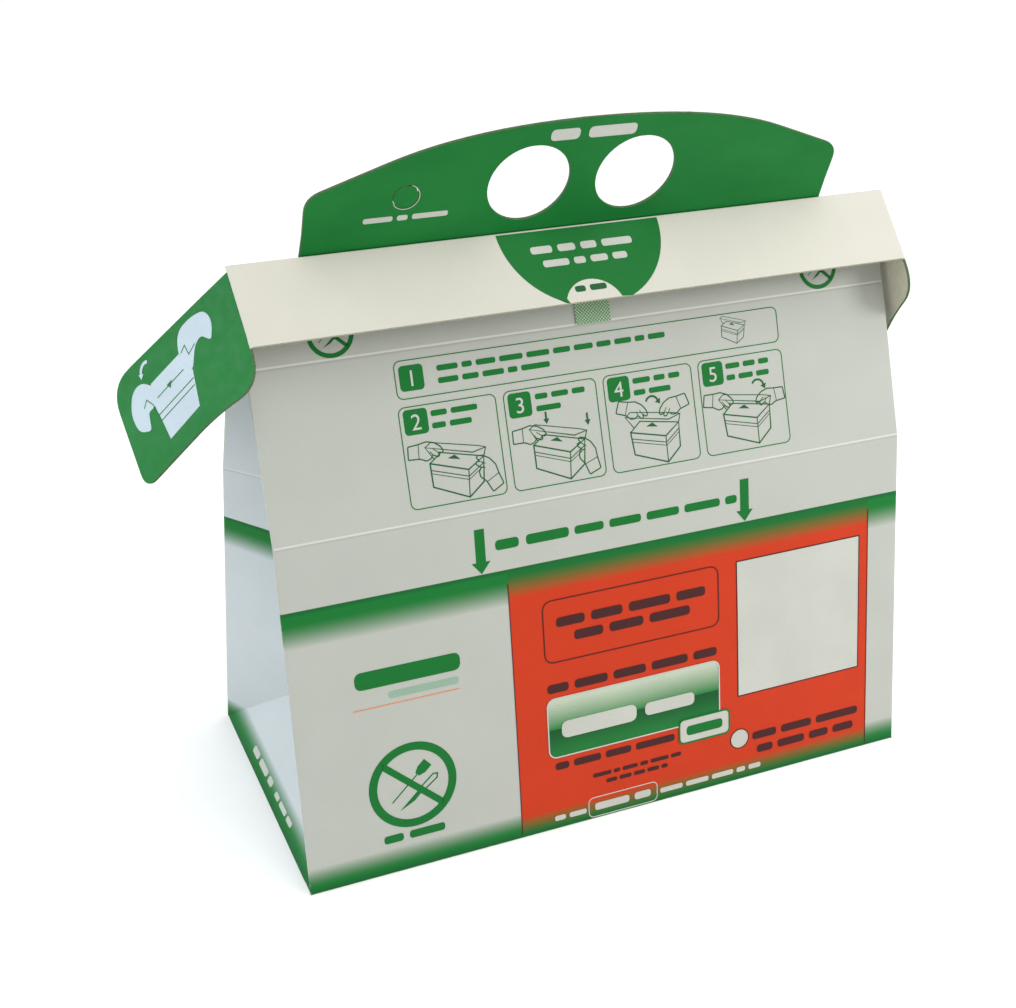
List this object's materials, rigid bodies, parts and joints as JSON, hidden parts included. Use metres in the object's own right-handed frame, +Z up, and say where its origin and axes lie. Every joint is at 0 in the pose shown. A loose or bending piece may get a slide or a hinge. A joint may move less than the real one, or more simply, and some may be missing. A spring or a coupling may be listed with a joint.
{
  "type": "biohazard waste bin",
  "caption": "Folding board waste carton with a gable body, inward-folding sides, an upper flap with side tabs and a carrying handle.",
  "frame": {"origin": "middle of the underside of the base panel, where the bin stands", "axes": "+X along the bin to the right as seen from the front, +Y from the front to the back, +Z up"},
  "size_m": [0.29, 0.113, 0.2471],
  "materials": {
    "board_printed": "satin",
    "board_white": "matt",
    "board_cream": "satin",
    "board_green": "satin",
    "absorbent_mat": "matt",
    "adhesive": "gloss",
    "release_paper": "satin",
    "seal_pad": "matt"
  },
  "bodies": {
    "carton": {"base_panel": "board_white", "front_lower_panel": "board_printed", "front_upper_panel": "board_printed", "back_lower_panel": "board_printed", "left_bottom_gusset": "board_printed", "right_bottom_gusset": "board_printed", "left_front_corner_web": "board_printed", "left_back_corner_web": "board_printed", "right_front_corner_web": "board_printed", "right_back_corner_web": "board_printed", "left_front_middle_web": "board_printed", "left_back_middle_web": "board_printed", "right_front_middle_web": "board_printed", "right_back_middle_web": "board_printed", "left_front_upper_web": "board_printed", "left_back_upper_web": "board_printed", "right_front_upper_web": "board_printed", "right_back_upper_web": "board_printed", "glue_seam_lower": "board_white", "absorbent_mat": "absorbent_mat"},
    "front_strip": {"front_seal_strip": "board_printed", "adhesive_strip": "adhesive", "release_paper": "release_paper", "temporary_seal_pad": "seal_pad"},
    "back_panel": {"back_upper_panel": "board_printed", "handle_backing_ply": "board_green", "glue_seam_upper": "board_white"},
    "handle_board": {"handle": "board_green"},
    "tag_flap": {"tag_hole_flap": "board_green"},
    "flap": {"upper_flap": "board_cream"},
    "tab_left": {"left_tab": "board_green"},
    "tab_right": {"right_tab": "board_green"}
  },
  "joints": [
    {"name": "back_panel_open", "type": "hinge", "parent": "carton", "child": "back_panel", "pos_m": [0, 0.03213, 0.1226], "axis": [-1, 0, 0], "range_deg": [0, 30]},
    {"name": "upper_flap_fold", "type": "hinge", "parent": "back_panel", "child": "flap", "pos_m": [0, 0, 0.2065], "axis": [-1, 0, 0], "range_deg": [-18, 110]},
    {"name": "left_tab_fold", "type": "hinge", "parent": "flap", "child": "tab_left", "pos_m": [-0.1212, 0, 0.2065], "axis": [-0.0384, 0.7308, 0.6815], "range_deg": [-20, 58]},
    {"name": "right_tab_fold", "type": "hinge", "parent": "flap", "child": "tab_right", "pos_m": [0.1212, 0, 0.2065], "axis": [-0.0384, -0.7308, -0.6815], "range_deg": [-1, 78]},
    {"name": "handle_tilt", "type": "hinge", "parent": "back_panel", "child": "handle_board", "pos_m": [0, 0.00122, 0.20696], "axis": [-1, 0, 0], "range_deg": [0, 25]},
    {"name": "tag_flap_push", "type": "hinge", "parent": "handle_board", "child": "tag_flap", "pos_m": [-0.0683, -0.00548, 0.22474], "axis": [0, -0.3525, 0.9358], "range_deg": [0, 50]},
    {"name": "front_strip_fold", "type": "hinge", "parent": "carton", "child": "front_strip", "pos_m": [0, -0.0108, 0.17546], "axis": [-1, 0, 0], "range_deg": [0, 12]}
  ]
}
